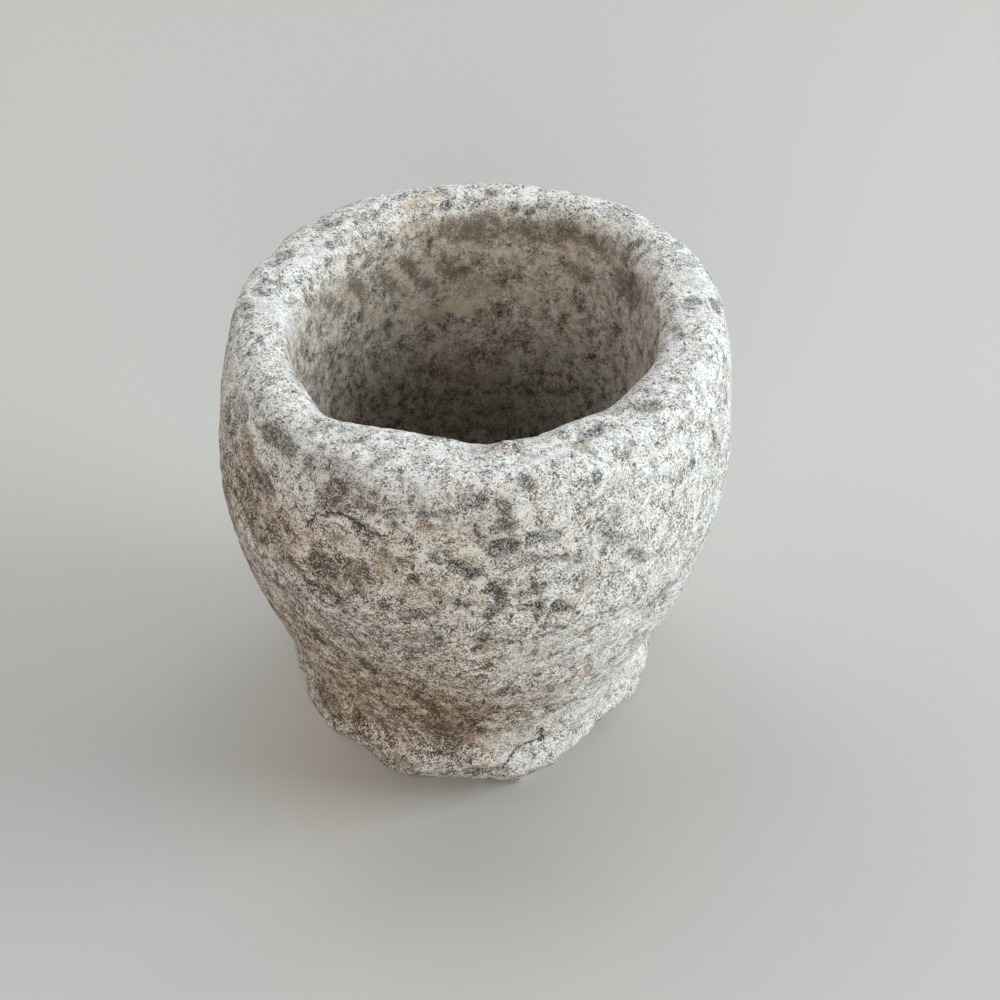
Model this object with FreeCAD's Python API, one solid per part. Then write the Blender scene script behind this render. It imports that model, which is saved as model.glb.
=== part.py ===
import FreeCAD, Part
import math
import os

# A stone mortar carved by hand from one block of granite: a rough chipped foot,
# a pecked-out waist, a swelling belly, a thick rounded rim and a deep bowl.
# Millimetres, +Z up. The origin is on the resting face, under the middle of the
# block's widest extents. The walls are not round: every ring of the stone is a
# closed curve whose radius changes with the angle around the carving axis.
# Angles run from +X towards +Y, so 270 degrees is -Y.

# ------------------------------------------------------------ driving sizes
HEIGHT = 120.8          # resting face to the crest of the rim
AXIS_X = 0.417          # carving axis, from the origin
AXIS_Y = -0.472
RIM_OUT = 7.5           # rounding of the rim's outer shoulder
RIM_IN = 7.0            # rounding of the mouth, measured inwards
RIM_IN_DROP = 9.0       # the same rounding, measured downwards
LEAST_CREST = 3.0       # keeps a crest between the roundings on a thin wall
FLOOR_Z = 34.0          # lowest point of the bowl, so the base is 34 thick
BOWL_POWER = 0.66       # 0.5 is a half ellipse, smaller is squarer
EDGE = 1.2              # broken edge round the resting face
FOOT_H = 15.0           # height over which the foot leaves its ground outline

# mean outer radius at each height
LEVELS = [0.0, 4.0, 10.0, 18.0, 25.0, 31.0, 40.0, 52.0, 66.0, 82.0, 97.0,
          108.0, 121.0]
MEANS = [45.4, 46.3, 50.0, 48.7, 49.6, 52.0, 54.9, 59.0, 62.1, 64.9, 64.5,
         63.8, 58.1]
# out-of-roundness at a few heights: cos and sin of 1, 2 and 3 times the angle
WAVE_Z = [0.0, 17.0, 26.5, 54.5, 90.5, 121.0]
WAVES = [[-4.8, -2.5, -2.2, -1.5, -0.2, -0.6],
         [3.7, 2.5, 0.8, -0.1, 0.0, -0.3],
         [-1.7, -1.3, -0.5, -0.2, -1.1, -1.6],
         [4.1, -0.5, 0.7, 0.0, 1.5, 0.5],
         [2.9, 0.1, -0.4, -0.3, 0.1, 0.6],
         [0.3, 1.9, 1.0, 0.0, -0.8, 3.2]]
# every 15 degrees: radius of the ground outline, and of the bowl at its mouth
GROUND = [43.4, 44.8, 46.0, 46.9, 45.9, 44.6, 45.4, 47.0, 47.3, 46.1, 46.6,
          48.2, 49.3, 49.8, 48.2, 45.3, 47.1, 45.0, 43.5, 44.7, 41.8, 39.1,
          39.9, 44.5]
MOUTH = [44.2, 44.8, 48.0, 50.0, 50.1, 48.9, 47.6, 46.9, 46.0, 44.9, 43.9,
         43.7, 45.0, 45.3, 45.0, 46.4, 41.6, 39.9, 40.8, 41.4, 39.9, 41.3,
         41.6, 43.2]
# hollows, chips and swellings of the outside: angle, height, half width round
# in degrees, half width up in millimetres, amount outwards
LUMPS = [
    (135.0, 13.0, 42.0, 14.0, -2.0),    # foot dressed back behind
    (150.0, 113.0, 4.0, 8.0, -1.5),     # notch in the shoulder
    (52.0, 113.0, 5.0, 7.0, 0.8),       # knob on the shoulder
    (60.0, 113.0, 4.0, 7.0, -0.6),
    (232.0, 97.0, 20.0, 11.0, -1.2),    # shallow hollow under the rim
    (262.0, 114.0, 30.0, 17.0, -3.0),   # flattened front of the rim
    (300.0, 74.0, 24.0, 14.0, 0.4),
    (95.0, 76.0, 34.0, 18.0, -0.8),
]

# ------------------------------------------------------------ curve helpers


def slopes(xs, ys):
    """Slopes of a shape-keeping cubic through the points."""
    n = len(xs)
    h = [xs[i + 1] - xs[i] for i in range(n - 1)]
    m = [(ys[i + 1] - ys[i]) / h[i] for i in range(n - 1)]
    d = [0.0] * n
    for i in range(1, n - 1):
        if m[i - 1] * m[i] > 0:
            a = 2 * h[i] + h[i - 1]
            b = h[i] + 2 * h[i - 1]
            d[i] = (a + b) / (a / m[i - 1] + b / m[i])

    def end(h0, h1, m0, m1):
        s = ((2 * h0 + h1) * m0 - h0 * m1) / (h0 + h1)
        if s * m0 <= 0:
            return 0.0
        if m0 * m1 <= 0 and abs(s) > 3 * abs(m0):
            return 3 * m0
        return s

    d[0] = end(h[0], h[1], m[0], m[1])
    d[-1] = end(h[-1], h[-2], m[-1], m[-2])
    return d


def cubic(xs, ys, ds, x):
    x = min(max(x, xs[0]), xs[-1])
    i = 0
    while i < len(xs) - 2 and x > xs[i + 1]:
        i += 1
    h = xs[i + 1] - xs[i]
    t = (x - xs[i]) / h
    a, b = ys[i], ys[i + 1]
    p, q = ds[i] * h, ds[i + 1] * h
    return (a * (2 * t ** 3 - 3 * t ** 2 + 1) + b * (3 * t ** 2 - 2 * t ** 3)
            + p * (t ** 3 - 2 * t ** 2 + t) + q * (t ** 3 - t ** 2))


def ring_value(table, deg):
    """Smooth periodic value of a table that has one entry every 15 degrees."""
    n = len(table)
    t = (deg / (360.0 / n)) % n
    i = int(math.floor(t))
    f = t - i
    p0, p1, p2, p3 = (table[(i + k) % n] for k in (-1, 0, 1, 2))
    return p1 + 0.5 * f * ((p2 - p0) + f * (
        (2 * p0 - 5 * p1 + 4 * p2 - p3) + f * (3 * (p1 - p2) + p3 - p0)))


MEAN_D = slopes(LEVELS, MEANS)
WAVE_D = [slopes(WAVE_Z, w) for w in WAVES]


def outer_radius(z, deg):
    a = math.radians(deg)
    r = cubic(LEVELS, MEANS, MEAN_D, z)
    ground = MEANS[0]
    for k in range(3):
        c = math.cos((k + 1) * a)
        s = math.sin((k + 1) * a)
        r += c * cubic(WAVE_Z, WAVES[2 * k], WAVE_D[2 * k], z)
        r += s * cubic(WAVE_Z, WAVES[2 * k + 1], WAVE_D[2 * k + 1], z)
        ground += c * WAVES[2 * k][0] + s * WAVES[2 * k + 1][0]
    t = min(max(z / FOOT_H, 0.0), 1.0)
    r += (ring_value(GROUND, deg) - ground) * (1 - t * t * (3 - 2 * t))
    for angle, height, wide, tall, amount in LUMPS:
        da = (deg - angle + 180.0) % 360.0 - 180.0
        r += amount * math.exp(-(da / wide) ** 2 - ((z - height) / tall) ** 2)
    return r


def meridian(deg):
    """Radius and height of each ring of the stone at one angle: up the
    outside, over the rim and down the inside of the bowl."""
    rows = []
    for z in (0.0, EDGE, 4.0, 7.5, 11.0, 14.5, 18.0, 22.0, 26.5, 32.0, 39.0,
              48.0, 59.0, 71.0, 82.0, 92.0, 101.0, 108.0, HEIGHT - RIM_OUT):
        r = outer_radius(z, deg)
        if z < EDGE:
            r -= EDGE - z
        rows.append((r, z))
    ro = outer_radius(HEIGHT - RIM_OUT, deg)
    ri = ring_value(MOUTH, deg)
    spare = ro - ri - RIM_OUT - RIM_IN
    crest = 0.5 * (spare + math.hypot(spare, LEAST_CREST))
    k = (ro - ri - crest) / (RIM_OUT + RIM_IN)
    for a in (30.0, 60.0, 90.0):
        c, s = math.cos(math.radians(a)), math.sin(math.radians(a))
        rows.append((ro - k * RIM_OUT * (1 - c), HEIGHT - RIM_OUT * (1 - s)))
    for a in (90.0, 60.0, 30.0, 0.0):
        c, s = math.cos(math.radians(a)), math.sin(math.radians(a))
        rows.append((ri + k * RIM_IN * (1 - c),
                     HEIGHT - RIM_IN_DROP * (1 - s)))
    top = HEIGHT - RIM_IN_DROP
    for a in (11, 22, 33, 44, 55, 65, 74, 81, 86):
        c, s = math.cos(math.radians(a)), math.sin(math.radians(a))
        rows.append((ri * c ** BOWL_POWER, top - (top - FLOOR_Z) * s))
    return rows


# ------------------------------------------------------------ the stone

AROUND = 48             # points on each ring
QUARTERS = 4            # side faces between two rings
columns = [meridian(360.0 * k / AROUND) for k in range(AROUND)]
wires = []
for row in range(len(columns[0])):
    points = []
    for k in range(AROUND):
        a = 2 * math.pi * k / AROUND
        r, z = columns[k][row]
        points.append(FreeCAD.Vector(AXIS_X + r * math.cos(a),
                                     AXIS_Y + r * math.sin(a), z))
    ring = Part.BSplineCurve()
    ring.interpolate(Points=points, PeriodicFlag=True,
                     Parameters=[k / AROUND for k in range(AROUND + 1)])
    edges = []
    for q in range(QUARTERS):
        piece = ring.copy()
        piece.segment(q / QUARTERS, (q + 1) / QUARTERS)
        edges.append(piece.toShape())
    wires.append(Part.Wire(edges))

mortar = Part.makeLoft(wires, True, False, False)

os.makedirs("parts", exist_ok=True)
mortar.exportStep("parts/mortar.step")

b = mortar.BoundBox
print("mortar: solids %d faces %d valid %s volume %.0f mm3" % (
    len(mortar.Solids), len(mortar.Faces), mortar.isValid(), mortar.Volume))
print("box x %.3f %.3f y %.3f %.3f z %.3f %.3f" % (
    b.XMin, b.XMax, b.YMin, b.YMax, b.ZMin, b.ZMax))
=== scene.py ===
import bpy
import math
import numpy as np
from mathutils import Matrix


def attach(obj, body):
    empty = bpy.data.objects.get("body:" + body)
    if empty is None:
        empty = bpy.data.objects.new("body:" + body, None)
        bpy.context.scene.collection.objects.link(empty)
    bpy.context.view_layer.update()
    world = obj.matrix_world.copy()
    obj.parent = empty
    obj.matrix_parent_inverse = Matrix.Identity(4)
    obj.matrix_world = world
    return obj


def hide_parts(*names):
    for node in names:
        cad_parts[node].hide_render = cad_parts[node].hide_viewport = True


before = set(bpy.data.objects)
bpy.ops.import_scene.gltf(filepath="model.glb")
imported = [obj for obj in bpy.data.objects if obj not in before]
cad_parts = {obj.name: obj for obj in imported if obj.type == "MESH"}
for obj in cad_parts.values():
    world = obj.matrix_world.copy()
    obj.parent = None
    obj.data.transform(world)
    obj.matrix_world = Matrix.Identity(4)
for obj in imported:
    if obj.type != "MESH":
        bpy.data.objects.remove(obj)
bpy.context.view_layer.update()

# A mortar carved by hand from one block of granite. The surface is the CAD
# solid's own, worked out again on a finer grid, with the peck marks, pits,
# chips and cracks of the real stone added. Lengths here are millimetres, and
# the mesh is turned into metres at the end.

# ------------------------------------------------ the carved shape, as in CAD
HEIGHT = 120.8
AXIS_X = 0.417
AXIS_Y = -0.472
RIM_OUT = 7.5
RIM_IN = 7.0
RIM_IN_DROP = 9.0
LEAST_CREST = 3.0
FLOOR_Z = 34.0
BOWL_POWER = 0.66
EDGE = 1.2
FOOT_H = 15.0
LEVELS = [0.0, 4.0, 10.0, 18.0, 25.0, 31.0, 40.0, 52.0, 66.0, 82.0, 97.0,
          108.0, 121.0]
MEANS = [45.4, 46.3, 50.0, 48.7, 49.6, 52.0, 54.9, 59.0, 62.1, 64.9, 64.5,
         63.8, 58.1]
WAVE_Z = [0.0, 17.0, 26.5, 54.5, 90.5, 121.0]
WAVES = [[-4.8, -2.5, -2.2, -1.5, -0.2, -0.6],
         [3.7, 2.5, 0.8, -0.1, 0.0, -0.3],
         [-1.7, -1.3, -0.5, -0.2, -1.1, -1.6],
         [4.1, -0.5, 0.7, 0.0, 1.5, 0.5],
         [2.9, 0.1, -0.4, -0.3, 0.1, 0.6],
         [0.3, 1.9, 1.0, 0.0, -0.8, 3.2]]
GROUND = [43.4, 44.8, 46.0, 46.9, 45.9, 44.6, 45.4, 47.0, 47.3, 46.1, 46.6,
          48.2, 49.3, 49.8, 48.2, 45.3, 47.1, 45.0, 43.5, 44.7, 41.8, 39.1,
          39.9, 44.5]
MOUTH = [44.2, 44.8, 48.0, 50.0, 50.1, 48.9, 47.6, 46.9, 46.0, 44.9, 43.9,
         43.7, 45.0, 45.3, 45.0, 46.4, 41.6, 39.9, 40.8, 41.4, 39.9, 41.3,
         41.6, 43.2]
LUMPS = [
    (135.0, 13.0, 42.0, 14.0, -2.0),
    (150.0, 113.0, 4.0, 8.0, -1.5),
    (52.0, 113.0, 5.0, 7.0, 0.8),
    (60.0, 113.0, 4.0, 7.0, -0.6),
    (232.0, 97.0, 20.0, 11.0, -1.2),
    (262.0, 114.0, 30.0, 17.0, -3.0),
    (300.0, 74.0, 24.0, 14.0, 0.4),
    (95.0, 76.0, 34.0, 18.0, -0.8),
]

AROUND = 480                    # columns of the mesh


def slopes(xs, ys):
    n = len(xs)
    h = [xs[i + 1] - xs[i] for i in range(n - 1)]
    m = [(ys[i + 1] - ys[i]) / h[i] for i in range(n - 1)]
    d = [0.0] * n
    for i in range(1, n - 1):
        if m[i - 1] * m[i] > 0:
            a = 2 * h[i] + h[i - 1]
            b = h[i] + 2 * h[i - 1]
            d[i] = (a + b) / (a / m[i - 1] + b / m[i])

    def end(h0, h1, m0, m1):
        s = ((2 * h0 + h1) * m0 - h0 * m1) / (h0 + h1)
        if s * m0 <= 0:
            return 0.0
        if m0 * m1 <= 0 and abs(s) > 3 * abs(m0):
            return 3 * m0
        return s

    d[0] = end(h[0], h[1], m[0], m[1])
    d[-1] = end(h[-1], h[-2], m[-1], m[-2])
    return d


def cubic(xs, ys, x):
    xs, ys, ds = np.array(xs), np.array(ys), np.array(slopes(xs, ys))
    x = np.clip(x, xs[0], xs[-1])
    i = np.clip(np.searchsorted(xs, x, side="left") - 1, 0, len(xs) - 2)
    h = xs[i + 1] - xs[i]
    t = (x - xs[i]) / h
    return (ys[i] * (2 * t ** 3 - 3 * t ** 2 + 1)
            + ys[i + 1] * (3 * t ** 2 - 2 * t ** 3)
            + ds[i] * h * (t ** 3 - 2 * t ** 2 + t)
            + ds[i + 1] * h * (t ** 3 - t ** 2))


def ring_value(table, deg):
    table = np.array(table)
    n = len(table)
    t = (deg / (360.0 / n)) % n
    i = np.floor(t).astype(int)
    f = t - i
    p0, p1, p2, p3 = (table[(i + k) % n] for k in (-1, 0, 1, 2))
    return p1 + 0.5 * f * ((p2 - p0) + f * (
        (2 * p0 - 5 * p1 + 4 * p2 - p3) + f * (3 * (p1 - p2) + p3 - p0)))


def outer_radius(z, deg):
    z, deg = np.broadcast_arrays(np.asarray(z, float), deg)
    a = np.radians(deg)
    r = cubic(LEVELS, MEANS, z)
    ground = np.full(deg.shape, MEANS[0])
    for k in range(3):
        c, s = np.cos((k + 1) * a), np.sin((k + 1) * a)
        r = r + c * cubic(WAVE_Z, WAVES[2 * k], z)
        r = r + s * cubic(WAVE_Z, WAVES[2 * k + 1], z)
        ground = ground + c * WAVES[2 * k][0] + s * WAVES[2 * k + 1][0]
    t = np.clip(z / FOOT_H, 0.0, 1.0)
    r = r + (ring_value(GROUND, deg) - ground) * (1 - t * t * (3 - 2 * t))
    for angle, height, wide, tall, amount in LUMPS:
        da = (deg - angle + 180.0) % 360.0 - 180.0
        r = r + amount * np.exp(-(da / wide) ** 2
                                - ((z - height) / tall) ** 2)
    return r


# ------------------------------------------------ seeded noise


def scramble(x, y, z, seed):
    """A fixed pseudo-random number from 0 to 1 for each lattice point."""
    h = (x.astype(np.int64) * 73856093) ^ (y.astype(np.int64) * 19349663) \
        ^ (z.astype(np.int64) * 83492791) ^ (seed * 40503 + 977)
    h = (h & 0xFFFFFFFF).astype(np.uint64)
    for mul in (0x85EBCA6B, 0xC2B2AE35):
        h ^= h >> np.uint64(15)
        h = (h * np.uint64(mul)) & np.uint64(0xFFFFFFFF)
    h ^= h >> np.uint64(16)
    return h.astype(float) / 4294967296.0


def lumpy(p, size, seed):
    """Smooth gradient noise, about -0.5 to 0.5, features of that size."""
    q = p / size
    i = np.floor(q)
    f = q - i
    w = f ** 3 * (f * (f * 6 - 15) + 10)
    total = np.zeros(len(p))
    for dx in (0, 1):
        for dy in (0, 1):
            for dz in (0, 1):
                x, y, z = i[:, 0] + dx, i[:, 1] + dy, i[:, 2] + dz
                g = [scramble(x, y, z, seed * 3 + k) * 2 - 1 for k in range(3)]
                dot = (g[0] * (f[:, 0] - dx) + g[1] * (f[:, 1] - dy)
                       + g[2] * (f[:, 2] - dz))
                wx = w[:, 0] if dx else 1 - w[:, 0]
                wy = w[:, 1] if dy else 1 - w[:, 1]
                wz = w[:, 2] if dz else 1 - w[:, 2]
                total += dot * wx * wy * wz
    return total


def cells(p, size, seed):
    """Distance to the nearest and second nearest scattered point, in units
    of size, and a random number that belongs to the nearest one."""
    q = p / size
    i = np.floor(q)
    best = np.full(len(p), 9.0)
    second = np.full(len(p), 9.0)
    mark = np.zeros(len(p))
    for dx in (-1, 0, 1):
        for dy in (-1, 0, 1):
            for dz in (-1, 0, 1):
                x, y, z = i[:, 0] + dx, i[:, 1] + dy, i[:, 2] + dz
                c = np.stack([x + scramble(x, y, z, seed * 7 + 1),
                              y + scramble(x, y, z, seed * 7 + 2),
                              z + scramble(x, y, z, seed * 7 + 3)], 1)
                d = np.sqrt(((q - c) ** 2).sum(1))
                own = scramble(x, y, z, seed * 7 + 4)
                near = d < best
                second = np.where(near, best, np.minimum(second, d))
                mark = np.where(near, own, mark)
                best = np.where(near, d, best)
    return best, second, mark


def step(lo, hi, x):
    t = np.clip((x - lo) / (hi - lo), 0.0, 1.0)
    return t * t * (3 - 2 * t)


# Stains and grains that stand out, with painted pit shadows and painted highlights
# among them: what it is, angle, radius and height of the middle, half length, half
# width, tilt in degrees, and strength
MARKS = [
    # brown
    ("brown", 221.5, 61.2, 116.3, 7.5, 2.8, 9, 0.95),
    ("brown", 219.0, 64.7, 104.0, 5.8, 3.2, -34, 0.8),
    ("brown", 239.5, 63.0, 112.7, 5.7, 2.7, 67, 1.0),
    ("brown", 236.5, 60.8, 118.4, 6.8, 1.7, 9, 0.7),
    ("brown", 246.0, 63.0, 113.1, 4.3, 2.3, -34, 0.6),
    ("brown", 243.0, 61.8, 117.3, 2.4, 1.3, -22, 0.6),
    ("brown", 215.5, 66.0, 93.1, 9.9, 3.9, -45, 0.7),
    ("brown", 206.5, 64.4, 103.5, 6.3, 2.7, -50, 0.6),
    ("brown", 225.0, 66.0, 91.3, 7.2, 3.2, -52, 0.5),
    ("brown", 276.0, 62.8, 113.5, 4.5, 2.0, -76, 0.9),
    ("brown", 245.5, 65.3, 93.6, 3.3, 1.8, -7, 0.85),
    ("brown", 237.0, 66.0, 89.6, 5.6, 4.2, -31, 1.05),
    ("brown", 242.0, 66.2, 87.3, 2.7, 2.2, -21, 0.6),
    ("brown", 258.0, 65.4, 89.0, 2.1, 1.1, 0, 0.6),
    ("brown", 281.5, 59.6, 119.3, 1.7, 1.3, -59, 1.0),
    ("brown", 306.5, 57.8, 119.0, 1.8, 0.6, 44, 0.8),
    ("brown", 320.5, 52.2, 120.8, 3.6, 1.5, -25, 0.8),
    ("brown", 300.5, 62.7, 105.7, 2.3, 1.4, -70, 0.75),
    ("brown", 297.5, 63.2, 102.4, 2.8, 1.1, -60, 0.6),
    ("brown", 301.0, 63.3, 97.6, 2.6, 1.1, -34, 0.5),
    ("brown", 282.0, 63.7, 99.8, 1.8, 1.0, -25, 0.7),
    ("brown", 274.0, 63.5, 106.9, 6.6, 1.1, -79, 0.3),
    ("brown", 244.5, 65.8, 89.6, 3.5, 1.8, -55, 0.8),
    ("brown", 258.5, 65.6, 83.9, 5.3, 1.5, 15, 0.85),
    ("brown", 242.5, 57.9, 46.4, 3.8, 1.6, 29, 0.6),
    ("brown", 245.0, 45.9, 2.5, 5.7, 3.4, -79, 0.6),
    ("brown", 211.5, 48.3, 10.5, 8.0, 6.1, 8, 0.55),
    ("brown", 262.0, 58.8, 49.7, 13.2, 9.0, -13, 0.35),
    ("brown", 263.5, 51.8, 28.5, 9.6, 7.0, 34, 0.85),
    ("brown", 247.0, 62.5, 64.7, 18.7, 11.3, 9, 0.35),
    ("brown", 244.5, 65.1, 74.4, 8.3, 5.0, -59, 0.3),
    ("brown", 268.5, 55.9, 41.4, 5.9, 4.6, -65, 0.75),
    ("brown", 262.5, 53.1, 31.9, 10.9, 3.4, -86, 0.55),
    ("brown", 134.5, 54.9, 120.8, 4.1, 2.0, -14, 0.6),
    # dark
    ("dark", 199.0, 62.7, 107.6, 2.0, 1.2, -31, 0.8),
    ("dark", 246.5, 62.3, 116.4, 2.0, 0.5, -20, 0.9),
    ("dark", 247.0, 57.7, 120.6, 1.0, 0.4, -50, 0.9),
    ("dark", 233.0, 58.2, 120.1, 0.4, 0.6, 0, 0.8),
    ("dark", 228.5, 53.7, 120.9, 1.8, 1.1, 5, 0.5),
    ("dark", 238.0, 53.3, 120.9, 2.9, 0.4, 29, 0.5),
    ("dark", 246.5, 64.2, 106.3, 3.1, 1.0, -14, 0.9),
    ("dark", 253.0, 63.8, 108.8, 1.1, 0.4, 20, 1.0),
    ("dark", 259.5, 63.0, 113.5, 0.6, 0.4, -33, 1.0),
    ("dark", 257.5, 62.5, 116.1, 0.9, 0.7, -16, 0.7),
    ("dark", 259.0, 62.3, 116.6, 0.5, 0.4, 0, 0.7),
    ("dark", 258.5, 63.2, 112.2, 0.6, 0.6, 0, 0.6),
    ("dark", 264.0, 63.0, 113.5, 1.0, 1.0, -54, 0.65),
    ("dark", 253.0, 63.2, 112.7, 1.8, 0.6, 18, 0.75),
    ("dark", 269.0, 61.6, 117.6, 3.3, 1.1, 0, 0.95),
    ("dark", 268.5, 62.5, 116.0, 1.4, 0.6, 4, 0.7),
    ("dark", 269.0, 63.1, 111.7, 0.8, 0.4, 0, 1.0),
    ("dark", 275.5, 63.6, 104.6, 4.0, 2.6, 13, 1.0),
    ("dark", 271.0, 63.5, 107.6, 3.0, 1.4, -43, 0.6),
    ("dark", 267.5, 64.2, 98.2, 4.0, 1.5, -37, 1.0),
    ("dark", 261.5, 64.2, 101.3, 1.6, 0.5, -51, 0.8),
    ("dark", 257.5, 64.9, 94.2, 1.0, 0.7, -27, 0.9),
    ("dark", 255.0, 64.6, 98.7, 0.8, 0.5, 0, 0.8),
    ("dark", 261.5, 65.1, 90.1, 1.6, 0.8, -14, 0.55),
    ("dark", 274.5, 64.4, 91.3, 2.9, 1.3, -68, 0.85),
    ("dark", 266.5, 65.1, 87.3, 2.0, 1.1, 0, 0.7),
    ("dark", 279.0, 64.4, 88.4, 1.1, 0.8, -64, 0.6),
    ("dark", 278.5, 59.9, 119.1, 1.0, 1.1, -52, 0.35),
    ("dark", 301.5, 49.8, 120.9, 3.1, 1.3, 7, 0.8),
    ("dark", 336.5, 62.1, 104.0, 1.5, 0.6, -76, 1.0),
    ("dark", 328.5, 57.2, 118.0, 0.6, 0.4, 90, 0.8),
    ("dark", 312.5, 59.9, 113.1, 0.8, 0.4, -20, 0.8),
    ("dark", 306.5, 63.7, 90.1, 4.3, 0.9, -43, 0.75),
    ("dark", 297.5, 63.5, 96.0, 0.8, 0.4, -90, 1.0),
    ("dark", 284.0, 63.4, 105.7, 3.9, 1.5, -5, 0.85),
    ("dark", 292.0, 63.5, 96.5, 1.1, 0.5, -72, 0.8),
    ("dark", 289.0, 63.5, 98.2, 0.8, 0.4, -63, 0.8),
    ("dark", 318.5, 62.6, 70.5, 5.3, 2.2, -10, 0.6),
    ("dark", 236.0, 66.6, 83.9, 3.3, 0.6, 6, 0.8),
    ("dark", 240.0, 66.4, 82.7, 2.4, 1.2, -32, 0.8),
    ("dark", 246.0, 66.1, 86.8, 3.5, 0.7, 22, 0.6),
    ("dark", 225.0, 65.6, 74.4, 4.9, 1.5, 10, 0.7),
    ("dark", 228.0, 64.7, 71.1, 3.2, 1.5, -76, 0.6),
    ("dark", 251.0, 66.0, 84.5, 1.8, 1.0, -76, 0.6),
    ("dark", 260.5, 64.7, 75.7, 3.3, 2.0, 27, 0.75),
    ("dark", 256.0, 63.0, 67.9, 1.5, 1.1, 22, 1.0),
    ("dark", 258.0, 64.5, 74.4, 1.3, 0.7, 21, 0.8),
    ("dark", 232.0, 61.8, 60.1, 3.0, 3.0, -79, 0.6),
    ("dark", 226.0, 58.7, 48.0, 2.6, 2.7, -16, 0.5),
    ("dark", 244.0, 60.6, 56.2, 3.4, 1.1, -55, 0.7),
    ("dark", 256.5, 59.8, 53.2, 1.9, 1.2, 30, 0.8),
    ("dark", 248.5, 54.4, 35.5, 4.1, 1.2, 33, 0.7),
    ("dark", 252.5, 54.1, 34.7, 3.2, 1.4, -48, 0.6),
    ("dark", 257.5, 56.4, 42.3, 2.6, 1.5, 35, 0.6),
    ("dark", 273.0, 64.9, 84.5, 1.8, 1.0, 45, 0.85),
    ("dark", 274.5, 64.8, 85.6, 1.4, 0.9, 19, 0.8),
    ("dark", 267.0, 65.0, 87.9, 2.1, 1.2, 11, 0.5),
    ("dark", 283.0, 64.1, 91.3, 1.4, 0.6, -35, 0.7),
    ("dark", 276.0, 63.7, 73.1, 1.7, 1.0, -17, 0.5),
    ("dark", 283.5, 60.6, 58.2, 1.8, 1.7, 23, 0.5),
    ("dark", 291.5, 60.5, 58.2, 3.4, 1.7, -42, 0.55),
    ("dark", 277.5, 58.9, 50.8, 2.6, 1.5, -43, 0.8),
    ("dark", 288.0, 58.2, 49.1, 1.4, 1.1, -21, 0.6),
    ("dark", 290.5, 53.0, 35.5, 2.3, 1.5, -37, 0.6),
    ("dark", 274.5, 56.1, 42.3, 2.2, 0.9, -73, 0.5),
    ("dark", 272.0, 50.1, 11.4, 5.2, 0.6, -6, 0.9),
    ("dark", 153.5, 56.1, 120.6, 3.9, 1.9, -21, 0.7),
    ("dark", 121.5, 46.9, 116.2, 0.9, 0.3, 2, 0.9),
    ("dark", 122.0, 49.5, 119.7, 1.0, 0.7, -49, 0.5),
    ("dark", 98.5, 53.1, 120.6, 1.4, 0.8, -4, 0.7),
    ("dark", 86.0, 53.2, 120.4, 1.0, 0.6, 5, 0.8),
    ("dark", 112.0, 54.6, 120.8, 1.2, 0.9, 90, 0.6),
    ("dark", 165.0, 55.0, 120.7, 1.7, 1.0, -36, 0.6),
    ("dark", 173.0, 57.0, 120.0, 2.5, 0.6, 39, 0.5),
    ("dark", 79.5, 50.6, 118.2, 1.0, 0.6, -17, 0.8),
    ("dark", 71.0, 52.4, 119.5, 1.5, 0.5, 20, 0.8),
    ("dark", 75.0, 50.6, 117.5, 0.9, 0.5, 3, 0.8),
    ("dark", 40.0, 51.6, 118.2, 2.4, 0.6, 49, 0.75),
    ("dark", 66.5, 51.5, 117.8, 1.3, 0.6, -20, 0.5),
    ("dark", 7.5, 53.5, 120.8, 1.6, 1.1, 63, 0.9),
    ("dark", 357.5, 47.5, 119.6, 1.6, 0.4, 24, 0.6),
    ("dark", 185.5, 58.5, 118.4, 5.8, 1.5, 12, 0.3),
    ("dark", 203.5, 60.5, 113.5, 6.0, 2.7, 5, 0.45),
    ("dark", 212.0, 58.5, 119.0, 3.6, 1.0, 5, 0.35),
    ("dark", 63.5, 50.7, 115.8, 2.3, 0.9, -9, 0.4),
    ("dark", 41.0, 48.5, 91.6, 1.1, 0.6, 29, 0.7),
    # rust
    ("rust", 213.5, 63.7, 106.9, 7.5, 2.6, -32, 1.0),
    ("rust", 239.0, 64.0, 108.2, 3.2, 0.7, 26, 0.8),
    ("rust", 262.5, 63.4, 110.0, 4.7, 1.5, 3, 0.6),
    ("rust", 294.5, 64.1, 88.4, 1.1, 0.8, -27, 0.7),
    ("rust", 230.0, 55.7, 39.5, 3.1, 2.0, 45, 0.5),
    ("rust", 260.5, 59.1, 50.8, 2.3, 1.8, 13, 0.6),
    ("rust", 270.5, 64.1, 74.4, 2.4, 1.7, -14, 0.4),
    ("rust", 283.0, 62.5, 67.3, 1.8, 1.3, -39, 0.7),
    ("rust", 86.0, 53.2, 120.4, 1.4, 0.8, 5, 0.9),
    # tan
    ("tan", 251.5, 65.0, 94.8, 1.6, 1.0, 15, 0.75),
    ("tan", 271.0, 64.8, 87.9, 0.7, 0.6, 0, 0.6),
    ("tan", 296.0, 53.3, 120.8, 1.2, 0.7, -29, 0.5),
    ("tan", 223.5, 47.3, 15.0, 3.0, 2.0, -22, 0.3),
    ("tan", 294.5, 64.1, 87.9, 1.1, 0.9, -27, 0.4),
    ("tan", 296.0, 59.0, 52.6, 2.0, 1.9, -39, 0.6),
    ("tan", 267.0, 50.2, 23.8, 1.8, 0.7, 81, 0.55),
    ("tan", 271.5, 49.8, 21.9, 2.7, 1.1, -71, 0.55),
    ("tan", 303.5, 46.6, 10.3, 3.0, 1.5, -15, 0.4),
    ("tan", 107.0, 51.8, 120.4, 6.1, 2.0, 1, 0.5),
    # green
    ("green", 251.5, 64.7, 98.7, 2.7, 1.0, -90, 0.9),
    # teal
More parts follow.
